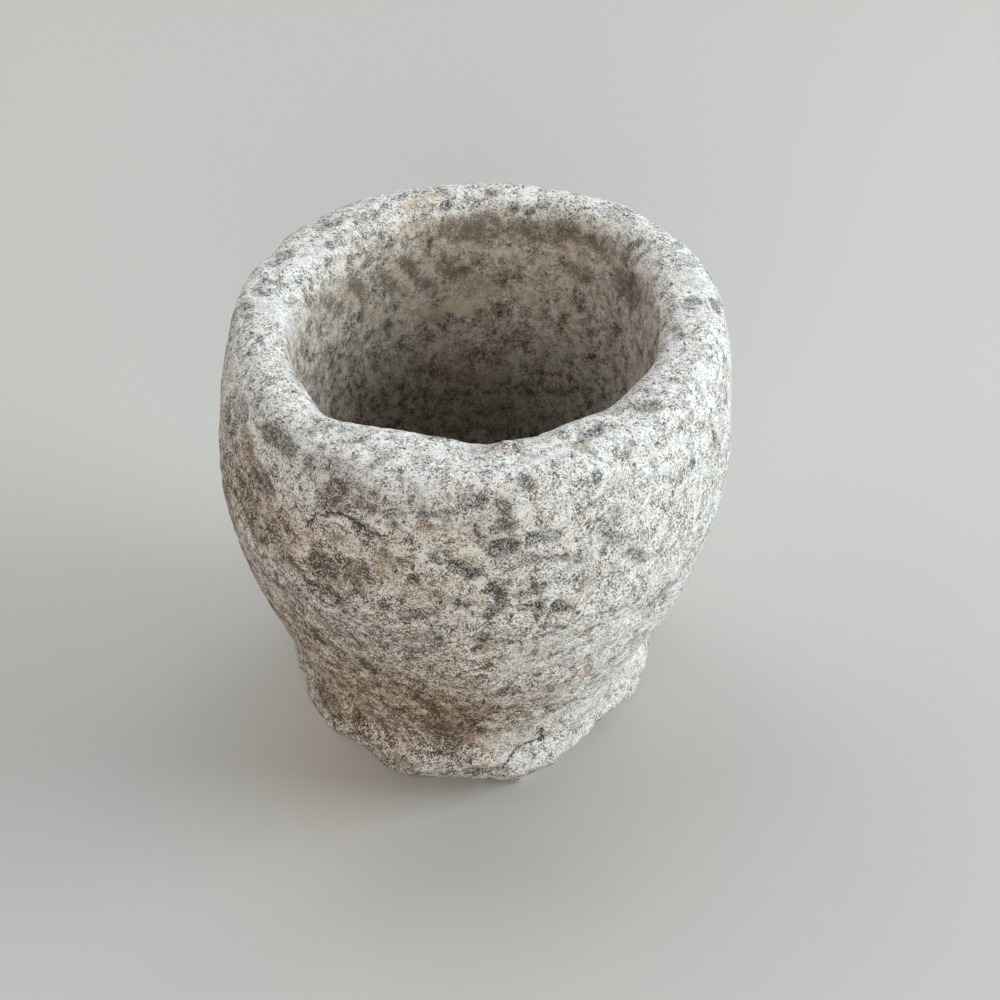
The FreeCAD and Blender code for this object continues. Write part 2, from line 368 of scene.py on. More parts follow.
    ("teal", 297.0, 60.5, 117.1, 1.0, 0.55, 64, 1.0),
    ("teal", 325.0, 61.8, 105.1, 1.0, 0.65, 90, 1.0),
    ("teal", 46.5, 55.9, 120.5, 0.8, 0.6, 59, 0.5),
    # pale
    ("pale", 326.0, 43.5, 18.0, 20.9, 9.5, -21, 0.32),
    ("pale", 304.0, 46.5, 10.7, 8.6, 3.1, -4, 0.35),
    ("pale", 314.5, 63.9, 78.3, 20.7, 3.5, -51, 0.2),
    ("pale", 281.0, 48.9, 14.4, 6.7, 2.8, -41, 0.4),
    ("pale", 304.5, 61.7, 64.7, 8.4, 6.0, 29, 0.22),
    ("pale", 292.5, 63.5, 96.0, 6.0, 3.0, 20, 0.35),
    # painted highlight: the left inner lip, which faces the key light, painted pale
    # bluish white
    ("pale", 176.5, 46.3, 117.3, 8.1, 4.1, 64, 0.45),
    ("pale", 146.0, 49.3, 120.5, 7.2, 2.1, -2, 0.4),
    ("pale", 13.5, 56.8, 120.6, 8.0, 3.5, 11, 0.4),
    # pit: a small sunk pit, with its shadow painted near black
    ("pit_shadow", 282.5, 64.6, 85.0, 0.6, 0.6, 0, 1.0),
    ("pit_shadow", 287.0, 64.5, 83.3, 0.4, 0.8, 0, 1.0),
    ("pit_shadow", 288.0, 64.5, 82.7, 0.8, 0.7, -47, 1.0),
    ("pit_shadow", 279.5, 64.7, 84.5, 0.8, 0.4, 0, 0.9),
    ("pit_shadow", 270.5, 64.3, 75.7, 1.0, 1.0, 50, 1.0),
    ("pit_shadow", 270.5, 63.3, 70.5, 0.5, 1.0, 0, 1.0),
    ("pit_shadow", 140.0, 48.9, 120.1, 0.6, 0.4, -53, 0.8),
    ("pit_shadow", 99.5, 50.1, 119.2, 0.8, 0.5, 27, 1.0),
    ("pit_shadow", 169.0, 55.3, 120.6, 0.6, 0.5, 43, 0.8),
    ("pit_shadow", 7.5, 59.5, 118.7, 1.8, 0.7, 15, 1.0),
    ("pit_shadow", 352.5, 48.9, 120.4, 0.8, 0.5, 34, 0.9),
    ("pit_shadow", 119.5, 45.2, 93.8, 1.2, 0.4, -51, 0.9),
    ("pit_shadow", 122.5, 44.5, 89.5, 0.9, 0.2, -51, 0.6),
    # stain
    ("umber", 92.0, 48.2, 113.4, 9.0, 3.6, 4, 0.85),
    ("umber", 69.0, 49.3, 113.4, 11.5, 3.3, 6, 0.72),
    ("stain", 48.5, 50.6, 114.9, 8.0, 2.8, 7, 0.65),
    ("umber", 122.2, 45.5, 102.2, 7.0, 2.1, -53, 0.85),
    ("umber", 112.2, 46.2, 103.8, 5.6, 1.9, -60, 0.85),
    ("umber", 133.5, 44.9, 105.0, 5.8, 1.9, -57, 0.80),
    ("umber", 147.0, 44.0, 107.0, 6.5, 1.9, -50, 0.60),
    ("umber", 58.5, 49.9, 102.8, 5.0, 2.2, -20, 0.75),
    ("stain", 38.0, 49.1, 106.0, 6.6, 4.4, 0, 0.75),
    ("umber", 107.0, 46.3, 98.5, 4.8, 1.8, -58, 0.80),
    ("umber", 98.5, 46.9, 101.8, 6.5, 3.0, -38, 0.75),
    # cream
    ("cream", 116.8, 45.9, 102.8, 5.5, 1.0, -54, 0.50),
    ("cream", 106.5, 46.5, 104.5, 3.5, 0.9, -58, 0.45),
    ("cream", 110.0, 45.6, 90.8, 7.5, 2.0, -38, 0.50),
    ("cream", 96.0, 47.4, 107.9, 7.0, 1.3, -10, 0.45),
    ("cream", 125.5, 44.6, 91.6, 5.0, 1.4, -46, 0.45),
    ("cream", 98.5, 46.0, 94.0, 5.0, 1.5, 0, 0.40),
    ("cream", 138.5, 44.4, 104.0, 5.0, 1.1, -50, 0.50),
    ("cream", 262.5, 64.9, 91.9, 5.5, 3.0, 10, 0.32),
    ("cream", 252.5, 64.7, 99.2, 5.0, 3.2, 0, 0.30),
    ("cream", 231.5, 65.0, 98.2, 5.0, 2.8, -30, 0.30),
    ("pale", 288.5, 64.4, 85.0, 3.5, 2.0, 0, 0.30),
    ("pale", 279.0, 62.1, 65.3, 7.0, 3.5, 80, 0.28),
    ("pale", 230.0, 57.8, 120.3, 5.5, 1.6, 10, 0.35),
    ("pale", 262.0, 50.9, 26.0, 7.0, 2.6, 5, 0.34),
    ("pale", 280.0, 49.2, 23.0, 7.0, 2.6, -5, 0.34),
    ("cream", 105.5, 45.6, 89.5, 5.0, 2.0, 0, 0.50),
    ("cream", 90.5, 46.9, 96.1, 6.0, 2.0, -20, 0.50),
    ("cream", 108.5, 47.2, 115.1, 5.0, 2.0, 0, 0.40),
    ("cream", 123.5, 44.6, 90.2, 4.0, 1.5, 0, 0.40),
    ("cream", 93.0, 41.9, 68.4, 10.0, 3.0, 0, 0.30),
    ("cream", 210.5, 65.5, 97.1, 5.0, 2.6, 60, 0.30),
    ("cream", 220.5, 65.7, 94.8, 6.0, 3.0, 50, 0.32),
    ("cream", 228.5, 65.9, 91.9, 6.0, 3.0, 20, 0.32),
    ("cream", 242.5, 64.8, 99.8, 5.0, 2.4, 0, 0.32),
    ("cream", 240.0, 66.3, 86.8, 5.0, 2.4, 0, 0.32),
    ("cream", 256.5, 65.4, 89.6, 6.0, 3.0, -20, 0.32),
    ("cream", 263.0, 63.3, 110.6, 5.0, 2.6, 20, 0.30),
    ("cream", 268.0, 64.0, 100.8, 4.0, 2.0, 30, 0.30),
    ("pale", 286.5, 63.0, 69.8, 5.0, 3.0, 80, 0.26),
    ("pale", 291.5, 55.5, 42.3, 8.0, 3.5, 80, 0.26),
    ("pale", 273.0, 53.0, 32.5, 5.0, 2.5, 0, 0.30),
    ("pale", 286.5, 50.4, 28.2, 7.0, 3.0, 0, 0.30),
    ("stain", 246.0, 58.0, 120.4, 6.0, 2.2, 60, 0.30),
    ("stain", 234.5, 50.7, 120.8, 6.0, 1.8, 20, 0.32),
    ("stain", 167.5, 42.5, 88.7, 6.0, 3.0, 60, 0.30),
    ("stain", 272.5, 45.0, 119.9, 4.5, 1.4, 0, 0.35),
    ("brown", 265.0, 65.3, 82.1, 5.0, 2.4, 0, 0.30),
    ("brown", 258.5, 60.6, 56.9, 5.0, 2.4, 10, 0.30),
    ("brown", 244.0, 56.2, 41.4, 5.0, 2.4, -10, 0.30),
    ("brown", 235.5, 61.5, 59.5, 5.0, 2.4, 0, 0.28),
    ("stain", 26.0, 46.2, 92.4, 5.0, 2.8, 0, 0.25),
    # tan patch on the back wall of the bowl, its own colour made paler as a painted
    # highlight
    ("buff", 96.8, 46.0, 89.5, 4.6, 2.2, -10, 0.75),
    ("cream", 75.0, 47.7, 90.9, 2.5, 1.5, 1, 0.4),
    ("cream", 61.0, 50.0, 108.5, 4.6, 1.5, 6, 0.4),
    ("cream", 80.5, 48.2, 105.2, 3.6, 1.3, -17, 0.3),
]

# Cracks: points along each one as angle, radius and height, then half width
# and strength
CRACKS = [
    ([(232.5, 64.9, 99.8), (235.5, 64.5, 105.1), (240.5, 64.0, 108.2),
      (244.5, 64.1, 107.6), (247.5, 64.3, 105.7), (251.5, 64.2, 105.7)], 0.39, 1.0),
    ([(253.5, 63.8, 108.2), (257.0, 63.9, 106.9)], 0.21, 0.7),
    ([(237.0, 54.6, 120.8), (240.5, 52.0, 120.9), (244.5, 53.6, 120.8),
      (247.5, 54.1, 120.8)], 0.21, 0.6),
    ([(260.5, 64.2, 102.4), (262.0, 64.3, 99.8), (265.0, 64.2, 99.8),
      (267.0, 64.2, 98.2)], 0.26, 0.8),
    ([(252.5, 64.8, 97.6), (253.5, 64.9, 95.4), (257.0, 64.9, 94.8)], 0.23, 0.7),
    ([(233.0, 65.6, 75.0), (240.5, 64.9, 73.1), (247.0, 63.8, 69.8),
      (251.0, 63.7, 69.8)], 0.26, 0.8),
    ([(233.5, 66.6, 83.3), (238.5, 66.5, 83.9), (241.0, 66.4, 82.1)], 0.31, 0.8),
    ([(221.5, 65.3, 73.1), (228.0, 65.5, 74.4), (229.0, 64.4, 69.8)], 0.31, 0.6),
    ([(289.5, 48.5, 23.1), (291.0, 47.6, 17.0), (285.5, 48.4, 18.5),
      (282.5, 48.6, 17.4), (279.5, 49.0, 14.8), (277.5, 49.6, 12.2)], 0.47, 1.0),
    ([(36.0, 50.0, 116.2), (33.5, 53.6, 120.4), (31.0, 56.9, 120.7),
      (32.5, 61.2, 119.0)], 0.21, 0.9),
    ([(7.0, 48.0, 119.7), (5.0, 46.4, 118.2), (1.0, 45.3, 116.4)], 0.23, 0.7),
    ([(358.0, 54.9, 120.6), (353.0, 50.7, 120.8)], 0.21, 0.9),
    ([(8.5, 48.0, 119.7), (6.5, 50.8, 120.7)], 0.18, 0.6),
    ([(52.0, 49.0, 90.9), (47.0, 49.0, 91.6), (41.5, 48.6, 91.6)], 0.18, 0.5),
    ([(242.5, 61.2, 58.8), (245.0, 60.0, 53.8), (245.0, 58.4, 48.0),
      (244.5, 55.7, 39.9)], 0.31, 0.6),
    ([(107.0, 45.0, 85.8), (100.0, 44.6, 81.4), (88.0, 45.2, 81.4)], 0.16, 0.3),
]

# Chips, steps and knobs: angle, radius and height of the middle, size, and
# depth, which is less than nothing for a knob
DENTS = [
    (268.0, 46.5, 120.8, 3.2, 1.2),     # step in the front lip
    (262.0, 47.0, 120.8, 2.6, 0.6),
    (279.0, 46.0, 120.8, 2.2, -0.35),
    (277.8, 46.3, 120.9, 1.4, -0.8),
    (274.0, 46.4, 120.8, 1.5, 0.5),
    (271.3, 46.3, 120.6, 4.2, 0.85),
    (313.5, 45.0, 120.0, 2.4, 1.1),     # notch in the lip
    (154.0, 57.0, 120.0, 3.4, 0.8),
    (59.0, 59.5, 119.5, 2.6, -0.6),
    (51.0, 59.5, 119.5, 2.4, -0.4),
    (67.0, 57.0, 120.0, 2.6, -0.5),
    (357.0, 48.0, 119.0, 2.2, 0.7),
    (236.0, 50.5, 120.8, 3.0, 0.5),
    (290.0, 48.0, 120.8, 3.2, 0.4),
    (322.0, 48.0, 120.8, 3.0, -0.4),
    (272.0, 50.0, 3.5, 4.0, 1.4),       # hollow under the front of the foot
    (282.0, 49.0, 15.0, 2.6, 0.9),
    (291.0, 47.5, 18.0, 2.4, 0.8),
    (306.0, 62.5, 69.0, 3.5, 0.4),
    (317.0, 62.5, 66.0, 4.0, 0.7),      # notch over the waist
    (318.0, 53.0, 30.0, 7.0, 0.5),
    (240.0, 48.5, 4.0, 4.0, 0.9),
    (222.0, 47.5, 6.0, 3.5, 0.7),
    (208.0, 47.5, 8.0, 4.0, -0.6),
    (250.0, 47.0, 9.0, 3.5, -0.6),
    (262.0, 47.5, 6.0, 3.2, 0.6),
    (302.0, 44.0, 4.0, 3.5, 0.8),
    (330.0, 42.0, 8.0, 5.0, -0.5),
    (242.0, 63.5, 113.0, 4.2, 0.8),     # dark hollow under the left lip
    (237.0, 66.0, 89.6, 4.5, 0.8),
    (269.0, 61.6, 117.6, 3.0, 0.65),
    (275.5, 63.6, 104.6, 3.6, 0.7),
    (221.5, 61.2, 116.3, 5.0, 0.7),
]

# Where weathering has browned the outside, and where painted shade darkens the
# front left and the foot, away from the key light: angle, height, half width round
# in degrees, half width up, amount
SOIL_AND_SHADE = [
    (214.0, 94.0, 40.0, 24.0, 0.64),
    (234.0, 47.0, 40.0, 20.0, 0.98),
    (262.0, 36.0, 24.0, 15.0, 0.85),
    (250.0, 104.0, 22.0, 12.0, 0.20),
    (268.0, 72.0, 12.0, 16.0, 0.20),
    (220.0, 14.0, 30.0, 18.0, 1.05),
    (266.0, 12.0, 18.0, 12.0, 0.08),
    (318.0, 12.0, 20.0, 14.0, 0.30),
    (160.0, 60.0, 40.0, 30.0, 0.50),
    (100.0, 40.0, 45.0, 22.0, 0.45),
    (40.0, 70.0, 30.0, 24.0, 0.20),
]
# painted shade for the wall of the bowl, in the same columns
BOWL_SHADE = [
    (36.0, 80.0, 30.0, 11.0, 0.34),
    (155.0, 84.0, 22.0, 14.0, 0.30),
    (12.0, 99.0, 14.0, 10.0, 0.20),
]

# ------------------------------------------------ the grid of the surface

DEG = np.arange(AROUND) * 360.0 / AROUND
ANG = np.radians(DEG)
ro = outer_radius(HEIGHT - RIM_OUT, DEG)
ri = ring_value(MOUTH, DEG)
spare = ro - ri - RIM_OUT - RIM_IN
crest = 0.5 * (spare + np.hypot(spare, LEAST_CREST))
thin = (ro - ri - crest) / (RIM_OUT + RIM_IN)

rows = []                       # radius and height of each row of points
kinds = []                      # 0 base, 1 outside, 2 crest, 3 bowl
foot = outer_radius(0.0, DEG) - EDGE
for k in (0.3, 0.6, 0.86):
    rows.append((foot * k, np.zeros(AROUND)))
    kinds.append(0)
rows.append((foot, np.zeros(AROUND)))
kinds.append(0)
for z in np.concatenate(([EDGE * 0.5, EDGE],
                         np.linspace(2.1, HEIGHT - RIM_OUT, 110))):
    rows.append((outer_radius(z, DEG) - max(EDGE - z, 0.0),
                 np.full(AROUND, z)))
    kinds.append(1)
for a in np.radians(np.linspace(0.0, 90.0, 12)[1:]):
    rows.append((ro - thin * RIM_OUT * (1 - math.cos(a)),
                 np.full(AROUND, HEIGHT - RIM_OUT * (1 - math.sin(a)))))
    kinds.append(1)
lip_out, lip_in = ro - thin * RIM_OUT, ri + thin * RIM_IN
for k in np.linspace(0.0, 1.0, 7)[1:]:
    rows.append((lip_out + (lip_in - lip_out) * k, np.full(AROUND, HEIGHT)))
    kinds.append(2)
for a in np.radians(np.linspace(90.0, 0.0, 12)[1:]):
    rows.append((ri + thin * RIM_IN * (1 - math.cos(a)),
                 np.full(AROUND, HEIGHT - RIM_IN_DROP * (1 - math.sin(a)))))
    kinds.append(3)
top = HEIGHT - RIM_IN_DROP
fine = np.radians(np.linspace(0.0, 90.0, 2001))
path = np.hypot(np.diff(45.0 * np.cos(fine) ** BOWL_POWER),
                np.diff((top - FLOOR_Z) * np.sin(fine)))
path = np.concatenate(([0.0], np.cumsum(path)))
BOWL_ROWS = 58
for s in np.linspace(0.0, path[-1], BOWL_ROWS + 1)[1:-1]:
    a = float(np.interp(s, path, fine))
    rows.append((ri * math.cos(a) ** BOWL_POWER,
                 np.full(AROUND, top - (top - FLOOR_Z) * math.sin(a))))
    kinds.append(3)
kinds = np.array(kinds)
R = np.array([r for r, z in rows])
Z = np.array([z for r, z in rows])
NROW = len(rows)

X = AXIS_X + R * np.cos(ANG)
Y = AXIS_Y + R * np.sin(ANG)
grid = np.stack([X, Y, Z], 2)
along = np.gradient(grid, axis=0)
round_ = np.roll(grid, -1, axis=1) - np.roll(grid, 1, axis=1)
normal = np.cross(round_, along)
normal /= np.maximum(np.linalg.norm(normal, axis=2, keepdims=True), 1e-9)
normal[kinds == 0] = (0.0, 0.0, -1.0)

arc = np.concatenate(([0.0], np.cumsum(
    np.hypot(np.diff(R, axis=0), np.diff(Z, axis=0)).mean(1))))

P = grid.reshape(-1, 3)
N = normal.reshape(-1, 3)
T = np.tile(np.stack([-np.sin(ANG), np.cos(ANG), 0 * ANG], 1), (NROW, 1))
M = np.cross(N, T)
kind = np.repeat(kinds, AROUND)
height = P[:, 2]
turn = np.tile(DEG, NROW)
radius = R.reshape(-1)
# 0 on the outside of the stone, 1 in the bowl
inside = np.where(kind == 3, step(HEIGHT + 0.5, HEIGHT - 8.0, height), 0.0)
rim = np.where(kind == 0, 0.0, step(96.0, 117.0, height))

# ------------------------------------------------ the worked surface


def place(deg, r, z):
    a = math.radians(deg)
    return np.array([AXIS_X + r * math.cos(a), AXIS_Y + r * math.sin(a), z])


def same_side(deg, r, z):
    """Points of the surface that face the same way as the one given."""
    a = math.radians(deg)
    k = int(np.argmin(((P - place(deg, r, z)) ** 2).sum(1)))
    return N @ N[k] > 0.1


low = step(30.0, 14.0, height) * (kind == 1)      # foot and waist
move = np.zeros(len(P))
move += 0.55 * lumpy(P, 26.0, 11) + 0.55 * lumpy(P, 12.0, 12)
# blows of the point: shallow dishes that overlap
f1, f2, own = cells(P + 1.5 * np.stack([lumpy(P, 5.0, s) for s in (1, 2, 3)],
                                       1), 7.5, 21)
move -= (0.16 + 0.22 * own) * (1 - step(0.0, 0.62, f1)) * (0.6 + low)
move += 0.75 * low * lumpy(P * (1, 1, 1.5), 9.0, 13)
# pecking
move += 0.42 * lumpy(P, 3.7, 14) + 0.30 * lumpy(P, 2.1, 15)
f1, f2, own = cells(P, 3.4, 22)
move -= 0.42 * (own < 0.34) * (1 - step(0.05, 0.42, f1))
# flat faces left where flakes came off the foot
f1, f2, own = cells(P + 1.0 * lumpy(P, 4.0, 16)[:, None], 13.0, 23)
flake = step(26.0, 10.0, height) * (kind == 1)
move -= flake * (1.5 * (own - 0.35) * step(0.0, 0.12, f2 - f1))
f1, f2, own = cells(P, 6.5, 24)
chip = step(9.0, 3.0, height) * (kind == 1)
move -= chip * 1.1 * (own - 0.3) * step(0.0, 0.1, f2 - f1)
# the bowl was ground smoother, with finer pecks in rows
f1, f2, own = cells(P * (1, 1, 1.35), 4.6, 25)
bowl = (-0.30 * (1 - step(0.0, 0.6, f1)) + 0.30 * lumpy(P, 14.0, 17)
        + 0.30 * lumpy(P, 3.0, 18) + 0.22 * lumpy(P, 1.9, 19))
move = move * (1 - inside) + bowl * inside
# the crest is worn a little
move *= 1 - 0.25 * rim * (1 - inside)

for deg, r, z, size, depth in DENTS:
    c = place(deg, r, z)
    move -= depth * np.exp(-((P - c) ** 2).sum(1) / size ** 2)

# ------------------------------------------------ stains, grains, cracks and painted shade

# the pit tint is near black: painted shadow inside the pits
TINT = {
    "brown": (0.115, 0.086, 0.062), "stain": (0.175, 0.156, 0.135),
    "umber": (0.215, 0.178, 0.143), "buff": (0.900, 0.820, 0.700),
    "pale": (0.830, 0.845, 0.860), "cream": (0.690, 0.600, 0.490),
    "dark": (0.058, 0.051, 0.046), "pit_shadow": (0.030, 0.024, 0.019),
    "rust": (0.230, 0.132, 0.070), "tan": (0.540, 0.400, 0.255),
    "green": (0.190, 0.200, 0.140), "teal": (0.030, 0.100, 0.086),
}
SOFT = ("brown", "umber", "buff", "stain", "pale", "cream", "rust")
DEPTH = {"brown": 0.22, "stain": 0.05, "umber": 0.05, "buff": 0.0,
         "pale": -0.05, "cream": 0.0, "dark": 0.30, "pit_shadow": 0.75,
         "rust": 0.0, "tan": -0.05, "green": 0.12, "teal": 0.0}
FAR = -3.0
layers = {}
for name in ("soft", "crisp"):
    layers[name] = [np.full(len(P), FAR), np.zeros((len(P), 3)),
                    np.zeros(len(P))]
sunk = np.zeros(len(P))
# the far side has the same kinds of marks, painted pit shadows among them: (kind,
# how many, half length, half width, amount), scattered over it
dice = np.random.RandomState(23)
behind = []
for what, count, long_, wide, amount in (
        ("brown", 9, 4.6, 2.4, 0.60), ("stain", 9, 6.0, 2.6, 0.50),
        ("dark", 16, 1.9, 0.9, 0.80), ("pit_shadow", 12, 0.9, 0.6, 0.90),
        ("pale", 5, 8.0, 3.6, 0.28), ("rust", 3, 2.6, 1.4, 0.50)):
    for _ in range(count):
        deg, z = dice.uniform(8.0, 172.0), dice.uniform(8.0, 114.0)
        r = np.interp(z, (0, 10, 25, 35, 45, 60, 75, 90, 105, 115),
                      (47, 49, 50.5, 53.5, 56.5, 61, 64, 65, 64, 61))
        grow = dice.uniform(0.7, 1.4)
        behind.append((what, deg, r, z, long_ * grow, wide * grow,
                       dice.uniform(-60.0, 60.0), amount))
for what, deg, r, z, long_, wide, tilt, amount in MARKS + behind:
    c = place(deg, r, z)
    near = np.nonzero(((P - c) ** 2).sum(1) < (long_ + 6.0) ** 2)[0]
    if not len(near):
        continue
    k = near[np.argmin(((P[near] - c) ** 2).sum(1))]
    near = near[N[near] @ N[k] > 0.2]
    d = P[near] - P[k]
    a = math.radians(tilt)
    way = math.cos(a) * T[k] + math.sin(a) * M[k]
    side = np.cross(N[k], way)
    x, y = d @ way, d @ side
    half = max(long_ - wide, 0.0)
    x = x - np.clip(x, -half, half)
    inside_by = (wide - np.hypot(x, y) + 0.6 * step(2.6, 0.9, wide)
                 + 0.5 * (what == "pit_shadow"))
    sdf, col, amt = layers["soft" if what in SOFT else "crisp"]
    win = inside_by > sdf[near]
    sdf[near[win]] = inside_by[win]
    col[near[win]] = TINT[what]
    amt[near[win]] = amount
    sunk[near] = np.maximum(sunk[near], amount * DEPTH[what]
                            * step(-0.7, 0.5, inside_by))
move -= sunk

line = np.full(len(P), 9.0)     # signed distance across the nearest crack
keep = np.full(len(P), -3.0)    # more than nothing near the crack itself
deep = np.zeros(len(P))
for points, wide, amount in CRACKS:
    pts = [place(*p) for p in points]
    for a, b in zip(pts[:-1], pts[1:]):
        mid, span = (a + b) / 2, np.linalg.norm(b - a)
        near = np.nonzero(((P - mid) ** 2).sum(1)
                          < (span / 2 + 4.0) ** 2)[0]
        k = near[np.argmin(((P[near] - mid) ** 2).sum(1))]
        near = near[N[near] @ N[k] > 0.2]
        way = (b - a) / span
        side = np.cross(N[k], way)
        side /= np.linalg.norm(side)
        d = P[near] - a
        x, y = d @ way, d @ side
        over = np.maximum(np.maximum(-x, x - span), 0.0)
        dist = np.hypot(over, y)
        win = dist < np.abs(line[near])
        rows_ = near[win]
        line[rows_] = np.where(y[win] < 0, -1, 1) * dist[win]
        keep[rows_] = np.minimum(2.0 - dist[win], 0.8 - over[win])
        deep[rows_] = amount * (wide / 0.3)
move -= 0.35 * np.clip(deep, 0, 1.3) * np.exp(-(line / 0.8) ** 2) * (keep > 0)

# where weathering has browned the stone, and where painted shade darkens the front
# left and the foot, away from the key light
soil_and_shade = np.zeros(len(P))
for deg, z, wide, tall, amount in SOIL_AND_SHADE:
    da = (turn - deg + 180.0) % 360.0 - 180.0
    soil_and_shade += amount * np.exp(-(da / wide) ** 2 - ((height - z) / tall) ** 2)
soil_and_shade *= (1 - inside) * (1 - 0.9 * rim)
# painted shade: the bowl is darker towards its bottom, and on two sides
bowl_shade = step(84.0, 50.0, height)
for deg, z, wide, tall, amount in BOWL_SHADE:
    da = (turn - deg + 180.0) % 360.0 - 180.0
    bowl_shade += amount * np.exp(-(da / wide) ** 2 - ((height - z) / tall) ** 2)
bowl_shade = np.clip(bowl_shade, 0.0, 1.0) * inside

# ------------------------------------------------ the mesh

where = P + N * move[:, None]
flat = kind == 0
where[flat, 2] = 0.0
where[flat, :2] = P[flat, :2]
where[:, 2] = np.maximum(where[:, 2], 0.0)
verts = np.vstack([where, [[AXIS_X, AXIS_Y, 0.0]],
                   [[AXIS_X, AXIS_Y, FLOOR_Z]]])
base_mid, bowl_mid = len(P), len(P) + 1

i, j = np.meshgrid(np.arange(NROW - 1), np.arange(AROUND), indexing="ij")
nxt = (j + 1) % AROUND
quads = np.stack([i * AROUND + j, i * AROUND + nxt,
                  (i + 1) * AROUND + nxt, (i + 1) * AROUND + j],
                 2).reshape(-1, 4)
col = np.arange(AROUND)
last = (NROW - 1) * AROUND
faces = quads.tolist()
faces += [(base_mid, (c + 1) % AROUND, c) for c in col.tolist()]
faces += [(last + c, last + (c + 1) % AROUND, bowl_mid)
          for c in col.tolist()]

mesh = bpy.data.meshes.new("granite_mortar")
mesh.from_pydata((verts * 0.001).tolist(), [], faces)
mesh.polygons.foreach_set("use_smooth", [True] * len(mesh.polygons))
stone = bpy.data.objects.new("granite_mortar", mesh)
bpy.context.scene.collection.objects.link(stone)


def attribute(name, values, fill=0.0):
    values = np.concatenate([values, [fill, fill]]).astype(np.float32)
    mesh.attributes.new(name, "FLOAT", "POINT").data.foreach_set(
        "value", values)


def colour_attribute(name, values):
    full = np.zeros((len(verts), 4), np.float32)
    full[:len(P), :3] = values
    full[:, 3] = 1.0
    mesh.attributes.new(name, "FLOAT_COLOR", "POINT").data.foreach_set(
        "color", full.reshape(-1))


for name, (sdf, tint, amt) in layers.items():
    attribute(name + "_edge", sdf, FAR)
    attribute(name + "_much", amt)
    colour_attribute(name + "_tint", tint)
attribute("crack_across", line, 9.0)
attribute("crack_near", keep, -3.0)
attribute("crack_much", np.clip(deep, 0, 1.5))
attribute("bowl_side", inside, 0.0)
attribute("soil_and_shade", soil_and_shade)
attribute("bowl_deep", bowl_shade)
attribute("crown", rim * (1 - inside))

# one flat layout, in millimetres: the outside and the bowl in halves, and a
# disc for the base and for the floor of the bowl
uv = mesh.uv_layers.new(name="OFBake")
split = int(np.nonzero(kinds == 2)[0][2])         # the middle of the crest
first = int(np.sum(kinds == 0)) - 1
disc = int(np.nonzero((kinds == 3) & (R.mean(1) < 24.0))[0][0])
SIDE = 366.0
counts = np.array([4] * len(quads) + [3] * (2 * AROUND))
flatid = np.array([v for f in faces for v in f])
face_of = np.repeat(np.arange(len(faces)), counts)
row_of = np.concatenate([np.repeat(np.arange(NROW - 1), AROUND),
                         np.full(AROUND, -1), np.full(AROUND, NROW)])
col_of = np.concatenate([np.tile(np.arange(AROUND), NROW - 1), col, col])
fr, fc = row_of[face_of], col_of[face_of]
vr, vc = flatid // AROUND, flatid % AROUND
wrapped = np.where((vc == 0) & (fc == AROUND - 1), AROUND, vc)
half_turn = AROUND // 2
second = fc >= half_turn
across = (wrapped - np.where(second, half_turn, 0)) * math.pi / half_turn
uvs = np.zeros((len(flatid), 2))
out = (fr >= first) & (fr < split)
rise = arc[np.clip(vr, 0, NROW - 1)]
tall = arc[split] - arc[first]
uvs[out, 0] = 2.0 + across[out] * 64.0
uvs[out, 1] = 2.0 + rise[out] - arc[first] + np.where(second[out],
                                                      tall + 3.0, 0.0)
inn = (fr >= split) & (fr < disc)
wide_in = math.pi * 47.0
uvs[inn, 0] = 207.0 + across[inn] * 47.0
uvs[inn, 1] = 2.0 + rise[inn] - arc[split] + np.where(
    second[inn], arc[disc] - arc[split] + 3.0, 0.0)
rest = ~(out | inn)
xy = verts[flatid[rest], :2]
under = fr[rest] < first
y0 = 2.0 + 2 * (arc[disc] - arc[split] + 3.0)
uvs[rest] = xy + np.where(under[:, None], (258.0, y0 + 52.0),
                          (334.0, y0 + 28.0))
assert uvs.max() < SIDE and uvs.min() > 0, (uvs.max(0), uvs.min(0))
uv.data.foreach_set("uv", (uvs / SIDE).astype(np.float32).reshape(-1))

# ------------------------------------------------ granite

mat = bpy.data.materials.new("granite")
mat.use_nodes = True
tree = mat.node_tree
tree.nodes.clear()


def node(kind_, **values):
    n = tree.nodes.new(kind_)
    for key, value in values.items():
        setattr(n, key, value)
    return n


def feed(socket, value):
    if hasattr(value, "is_output"):
        tree.links.new(value, socket)
    elif value is not None:
        socket.default_value = value


def calc(op, a, b=None, c=None, clamp=False):
    n = node("ShaderNodeMath", operation=op, use_clamp=clamp)
    for socket, value in zip(n.inputs, (a, b, c)):
        feed(socket, value)
    return n.outputs[0]


def add(*items):
    total = items[0]
    for item in items[1:]:
        total = calc("ADD", total, item)
    return total


def mul(*items):
    total = items[0]
    for item in items[1:]:
        total = calc("MULTIPLY", total, item)
    return total


def smooth(x, lo, hi, a=0.0, b=1.0):
    n = node("ShaderNodeMapRange", interpolation_type="SMOOTHSTEP")
    for socket, value in zip(n.inputs, (x, lo, hi, a, b)):
        feed(socket, value)
    return n.outputs[0]


def noise(vector, scale, detail=2.0, rough=0.5, colour=False):
    n = node("ShaderNodeTexNoise", noise_dimensions="3D")
    feed(n.inputs["Vector"], vector)
    feed(n.inputs["Scale"], scale)
    feed(n.inputs["Detail"], detail)
    feed(n.inputs["Roughness"], rough)
    return n.outputs["Color" if colour else "Fac"]


